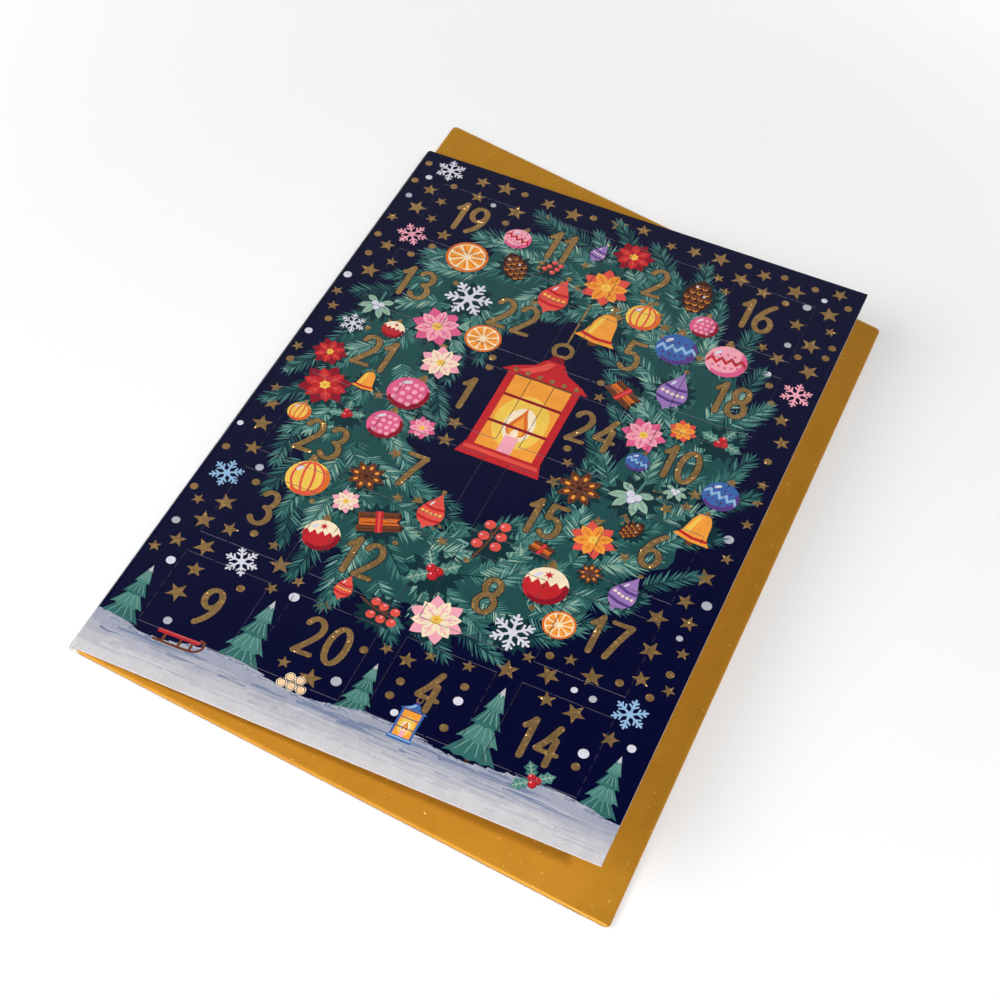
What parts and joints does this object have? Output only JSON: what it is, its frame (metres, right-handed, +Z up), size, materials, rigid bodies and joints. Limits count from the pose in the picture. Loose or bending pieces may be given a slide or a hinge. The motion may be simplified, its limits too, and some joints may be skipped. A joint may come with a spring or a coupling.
{
  "type": "advent calendar card",
  "caption": "Folded board card with small perforated doors in its cover, a picture sheet glued behind them and a gold envelope tucked into the fold.",
  "frame": {"origin": "under the middle of card and envelope, on the surface the back panel lies on", "axes": "+Z up out of the back panel, +Y from the foot of the card to its head, +X from the spine to the free edge"},
  "size_m": [0.1256, 0.1884, 0.0231],
  "materials": {
    "printed_board": "satin",
    "picture_paper": "matte",
    "envelope_paper": "satin",
    "adhesive": "satin"
  },
  "bodies": {
    "back": {"back_panel": "printed_board", "spine_fold": "printed_board"},
    "cover": {"cover_sheet": "printed_board", "glue_film": "adhesive", "picture_sheet": "picture_paper"},
    "door_01": {"door_01": "printed_board"},
    "door_02": {"door_02": "printed_board"},
    "door_03": {"door_03": "printed_board"},
    "door_04": {"door_04": "printed_board"},
    "door_05": {"door_05": "printed_board"},
    "door_06": {"door_06": "printed_board"},
    "door_07": {"door_07": "printed_board"},
    "door_08": {"door_08": "printed_board"},
    "door_09": {"door_09": "printed_board"},
    "door_10": {"door_10": "printed_board"},
    "door_11": {"door_11": "printed_board"},
    "door_12": {"door_12": "printed_board"},
    "door_13": {"door_13": "printed_board"},
    "door_14": {"door_14": "printed_board"},
    "door_15": {"door_15": "printed_board"},
    "door_16": {"door_16": "printed_board"},
    "door_17": {"door_17": "printed_board"},
    "door_18": {"door_18": "printed_board"},
    "door_19": {"door_19": "printed_board"},
    "door_20": {"door_20": "printed_board"},
    "door_21": {"door_21": "printed_board"},
    "door_22": {"door_22": "printed_board"},
    "door_23": {"door_23": "printed_board"},
    "door_24": {"door_24": "printed_board"},
    "envelope": {"envelope_face": "envelope_paper", "envelope_top_flap": "envelope_paper", "envelope_foot_flap": "envelope_paper", "envelope_back_flap": "envelope_paper", "seam_glue": "adhesive", "envelope_closing_flap": "envelope_paper", "gum_strip": "adhesive"}
  },
  "joints": [
    {"name": "cover_hinge", "type": "hinge", "parent": "back", "child": "cover", "pos_m": [-0.06162, -0.00645, 0.00123], "axis": [0, -1, 0], "range_deg": [-10, 170], "stiffness_Nm_per_rad": 0.02, "springref_deg": 19.77, "deforming": ["spine_fold"]},
    {"name": "door_01_crease", "type": "hinge", "parent": "cover", "child": "door_01", "pos_m": [-0.02749, 0.00765, 0.00851], "axis": [0, -1, 0], "range_deg": [0, 165]},
    {"name": "door_02_crease", "type": "hinge", "parent": "cover", "child": "door_02", "pos_m": [0.01909, 0.06065, 0.01672], "axis": [0, 1, 0], "range_deg": [0, 165]},
    {"name": "door_03_crease", "type": "hinge", "parent": "cover", "child": "door_03", "pos_m": [-0.05359, -0.04535, 0.0039], "axis": [0, -1, 0], "range_deg": [0, 165]},
    {"name": "door_04_crease", "type": "hinge", "parent": "cover", "child": "door_04", "pos_m": [0.01909, -0.07185, 0.01672], "axis": [0, 1, 0], "range_deg": [0, 165]},
    {"name": "door_05_crease", "type": "hinge", "parent": "cover", "child": "door_05", "pos_m": [0.01909, 0.03415, 0.01672], "axis": [0, 1, 0], "range_deg": [0, 165]},
    {"name": "door_06_crease", "type": "hinge", "parent": "cover", "child": "door_06", "pos_m": [0.04518, -0.01885, 0.02132], "axis": [0, 1, 0], "range_deg": [0, 165]},
    {"name": "door_07_crease", "type": "hinge", "parent": "cover", "child": "door_07", "pos_m": [-0.02749, -0.01885, 0.00851], "axis": [0, -1, 0], "range_deg": [0, 165]},
    {"name": "door_08_crease", "type": "hinge", "parent": "cover", "child": "door_08", "pos_m": [0.01909, -0.04535, 0.01672], "axis": [0, 1, 0], "range_deg": [0, 165]},
    {"name": "door_09_crease", "type": "hinge", "parent": "cover", "child": "door_09", "pos_m": [-0.05359, -0.07185, 0.0039], "axis": [0, -1, 0], "range_deg": [0, 165]},
    {"name": "door_10_crease", "type": "hinge", "parent": "cover", "child": "door_10", "pos_m": [0.04518, 0.00765, 0.02132], "axis": [0, 1, 0], "range_deg": [0, 165]},
    {"name": "door_11_crease", "type": "hinge", "parent": "cover", "child": "door_11", "pos_m": [-0.02749, 0.06065, 0.00851], "axis": [0, -1, 0], "range_deg": [0, 165]},
    {"name": "door_12_crease", "type": "hinge", "parent": "cover", "child": "door_12", "pos_m": [-0.02749, -0.04535, 0.00851], "axis": [0, -1, 0], "range_deg": [0, 165]},
    {"name": "door_13_crease", "type": "hinge", "parent": "cover", "child": "door_13", "pos_m": [-0.05359, 0.03415, 0.0039], "axis": [0, -1, 0], "range_deg": [0, 165]},
    {"name": "door_14_crease", "type": "hinge", "parent": "cover", "child": "door_14", "pos_m": [0.04518, -0.07185, 0.02132], "axis": [0, 1, 0], "range_deg": [0, 165]},
    {"name": "door_15_crease", "type": "hinge", "parent": "cover", "child": "door_15", "pos_m": [0.01909, -0.01885, 0.01672], "axis": [0, 1, 0], "range_deg": [0, 165]},
    {"name": "door_16_crease", "type": "hinge", "parent": "cover", "child": "door_16", "pos_m": [0.04518, 0.06065, 0.02132], "axis": [0, 1, 0], "range_deg": [0, 165]},
    {"name": "door_17_crease", "type": "hinge", "parent": "cover", "child": "door_17", "pos_m": [0.04518, -0.04535, 0.02132], "axis": [0, 1, 0], "range_deg": [0, 165]},
    {"name": "door_18_crease", "type": "hinge", "parent": "cover", "child": "door_18", "pos_m": [0.04518, 0.03415, 0.02132], "axis": [0, 1, 0], "range_deg": [0, 165]},
    {"name": "door_19_crease", "type": "hinge", "parent": "cover", "child": "door_19", "pos_m": [-0.05359, 0.06065, 0.0039], "axis": [0, -1, 0], "range_deg": [0, 165]},
    {"name": "door_20_crease", "type": "hinge", "parent": "cover", "child": "door_20", "pos_m": [-0.02749, -0.07185, 0.00851], "axis": [0, -1, 0], "range_deg": [0, 165]},
    {"name": "door_21_crease", "type": "hinge", "parent": "cover", "child": "door_21", "pos_m": [-0.05359, 0.00765, 0.0039], "axis": [0, -1, 0], "range_deg": [0, 165]},
    {"name": "door_22_crease", "type": "hinge", "parent": "cover", "child": "door_22", "pos_m": [-0.02749, 0.03415, 0.00851], "axis": [0, -1, 0], "range_deg": [0, 165]},
    {"name": "door_23_crease", "type": "hinge", "parent": "cover", "child": "door_23", "pos_m": [-0.05359, -0.01885, 0.0039], "axis": [0, -1, 0], "range_deg": [0, 165]},
    {"name": "door_24_crease", "type": "hinge", "parent": "cover", "child": "door_24", "pos_m": [0.01909, 0.00765, 0.01672], "axis": [0, 1, 0], "range_deg": [0, 165]},
    {"name": "envelope_slide", "type": "slide", "parent": "back", "child": "envelope", "axis": [1, 0, 0], "range_m": [0, 0.125]}
  ]
}
